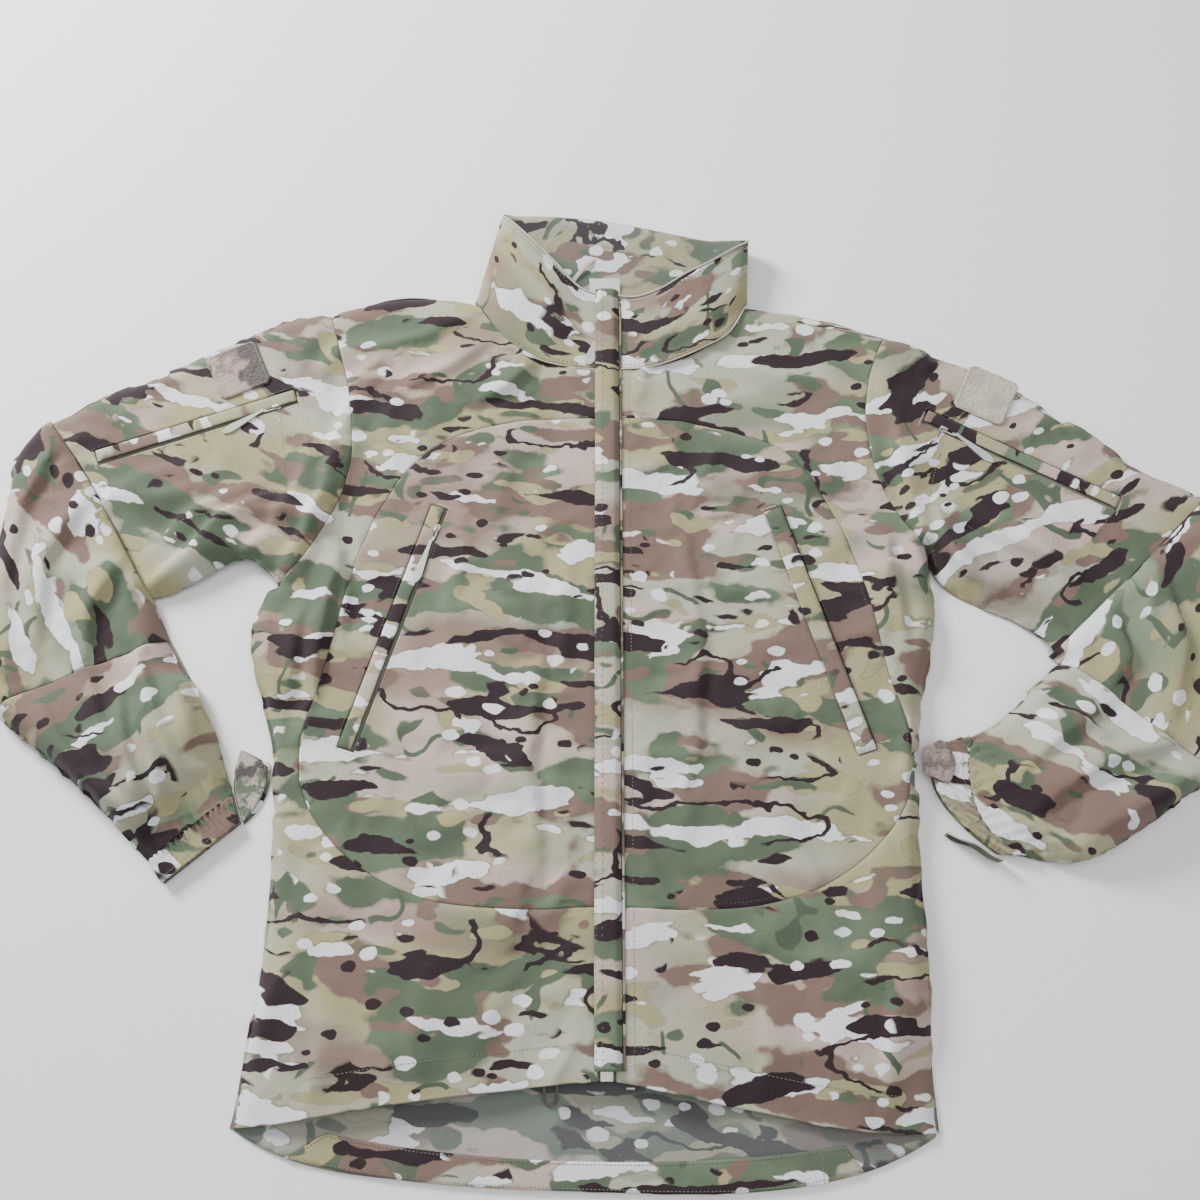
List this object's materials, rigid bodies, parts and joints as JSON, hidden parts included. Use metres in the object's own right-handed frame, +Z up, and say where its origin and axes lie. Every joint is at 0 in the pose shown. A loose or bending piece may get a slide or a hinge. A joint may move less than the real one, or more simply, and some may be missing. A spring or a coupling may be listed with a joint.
{
  "type": "soft-shell jacket",
  "caption": "Soft-shell field jacket with stand collar, front zip under a storm flap, slanted body pockets and sleeve zip pockets, lying flat with bent sleeves.",
  "frame": {"origin": "on the surface the jacket lies on, under the centre-front zip at chest height", "axes": "+X to the wearer's left, +Y from hem to collar, +Z up, out of the front"},
  "size_m": [1.2066, 0.9006, 0.0305],
  "materials": {
    "print_cloth": "matt woven face of a bonded cloth, printed",
    "lining_cloth": "paler inside face of the same cloth",
    "loop_pile": "brushed loop pile",
    "zip_tape": "fine woven tape",
    "zip_plastic": "dull coil and tape",
    "zip_metal": "tumbled grey",
    "puller_rubber": "soft moulded tab",
    "label": "smooth woven label, blank",
    "tape_binding": "ribbed tape",
    "elastic": "ribbed elastic",
    "cord": "braided elastic cord"
  },
  "bodies": {
    "jacket": {"back_hem_facing": "print_cloth", "back_panel": "print_cloth", "collar_back": "print_cloth", "collar_left": "print_cloth", "collar_lining": "lining_cloth", "collar_right": "print_cloth", "cuff_elastics": "elastic", "hanger_loop": "tape_binding", "hem_cord_loop": "cord", "left_arm_patch": "loop_pile", "left_arm_pocket_bag": "lining_cloth", "left_arm_pocket_welt": "print_cloth", "left_arm_pocket_zip": "zip_plastic", "left_cuff_band": "print_cloth", "left_cuff_loop": "loop_pile", "left_elbow": "print_cloth", "left_forearm": "print_cloth", "left_front_inset": "print_cloth", "left_front_surround": "print_cloth", "left_hand_pocket_bag": "lining_cloth", "left_hand_pocket_welt": "print_cloth", "left_hand_pocket_zip": "zip_plastic", "left_sleeve_underside": "print_cloth", "left_upper_sleeve": "print_cloth", "left_zip_tape": "zip_tape", "neck_label": "label", "right_arm_patch": "loop_pile", "right_arm_pocket_bag": "lining_cloth", "right_arm_pocket_welt": "print_cloth", "right_arm_pocket_zip": "zip_plastic", "right_cuff_band": "print_cloth", "right_cuff_loop": "loop_pile", "right_cuff_tab": "print_cloth", "right_elbow": "print_cloth", "right_forearm": "print_cloth", "right_front_inset": "print_cloth", "right_front_surround": "print_cloth", "right_hand_pocket_bag": "lining_cloth", "right_hand_pocket_welt": "print_cloth", "right_hand_pocket_zip": "zip_plastic", "right_sleeve_underside": "print_cloth", "right_upper_sleeve": "print_cloth", "right_zip_tape": "zip_tape", "storm_flap_seam": "print_cloth", "zip_chain": "zip_plastic", "zip_insertion_pin": "zip_metal", "zip_retainer_box": "zip_metal", "zip_top_stops": "zip_metal"},
    "front_slider": {"front_slider": "zip_metal"},
    "front_puller": {"front_puller": "puller_rubber"},
    "storm_flap": {"storm_flap": "print_cloth"},
    "left_cuff_tab": {"left_cuff_tab": "print_cloth"},
    "right_hand_slider": {"right_hand_pocket_slider": "zip_metal"},
    "right_hand_puller": {"right_hand_pocket_puller": "puller_rubber"},
    "right_arm_slider": {"right_arm_pocket_slider": "zip_metal"},
    "right_arm_puller": {"right_arm_pocket_puller": "puller_rubber"},
    "left_hand_slider": {"left_hand_pocket_slider": "zip_metal"},
    "left_hand_puller": {"left_hand_pocket_puller": "puller_rubber"},
    "left_arm_slider": {"left_arm_pocket_slider": "zip_metal"},
    "left_arm_puller": {"left_arm_pocket_puller": "puller_rubber"}
  },
  "joints": [
    {"name": "front_zip_slide", "type": "slide", "parent": "jacket", "child": "front_slider", "axis": [0, 1, 0], "range_m": [-0.676, 0.014]},
    {"name": "front_puller_swivel", "type": "hinge", "parent": "front_slider", "child": "front_puller", "pos_m": [0, 0.283, 0.0169], "axis": [0, 0, 1], "range_deg": [-5, 24]},
    {"name": "storm_flap_open", "type": "hinge", "parent": "jacket", "child": "storm_flap", "pos_m": [0.0127, -0.048, 0.0174], "axis": [0, 1, 0], "range_deg": [0, 130]},
    {"name": "left_cuff_tab_swing", "type": "hinge", "parent": "jacket", "child": "left_cuff_tab", "pos_m": [0.337, -0.236, 0.008], "axis": [0, 0, 1], "range_deg": [0, 80]},
    {"name": "right_hand_zip_slide", "type": "slide", "parent": "jacket", "child": "right_hand_slider", "axis": [0.304, 0.9527, 0], "range_m": [-0.2114, 0.0144]},
    {"name": "right_hand_puller_lift", "type": "hinge", "parent": "right_hand_slider", "child": "right_hand_puller", "pos_m": [-0.15705, 0.06456, 0.01615], "axis": [-0.9527, 0.304, 0], "range_deg": [0, 120]},
    {"name": "right_arm_zip_slide", "type": "slide", "parent": "jacket", "child": "right_arm_slider", "axis": [0.9432, 0.3322, 0], "range_m": [-0.1664, 0.0144]},
    {"name": "right_arm_puller_lift", "type": "hinge", "parent": "right_arm_slider", "child": "right_arm_puller", "pos_m": [-0.31592, 0.19028, 0.01415], "axis": [-0.3322, 0.9432, 0], "range_deg": [0, 120]},
    {"name": "left_hand_zip_slide", "type": "slide", "parent": "jacket", "child": "left_hand_slider", "axis": [-0.304, 0.9527, 0], "range_m": [-0.2014, 0.0244]},
    {"name": "left_hand_puller_swivel", "type": "hinge", "parent": "left_hand_slider", "child": "left_hand_puller", "pos_m": [0.16109, 0.05303, 0.01615], "axis": [0, 0, -1], "range_deg": [0, 24]},
    {"name": "left_arm_zip_slide", "type": "slide", "parent": "jacket", "child": "left_arm_slider", "axis": [-0.8854, 0.4648, 0], "range_m": [-0.1664, 0.0144]},
    {"name": "left_arm_puller_lift", "type": "hinge", "parent": "left_arm_slider", "child": "left_arm_puller", "pos_m": [0.32176, 0.16661, 0.01415], "axis": [-0.4648, -0.8854, 0], "range_deg": [0, 120]}
  ]
}
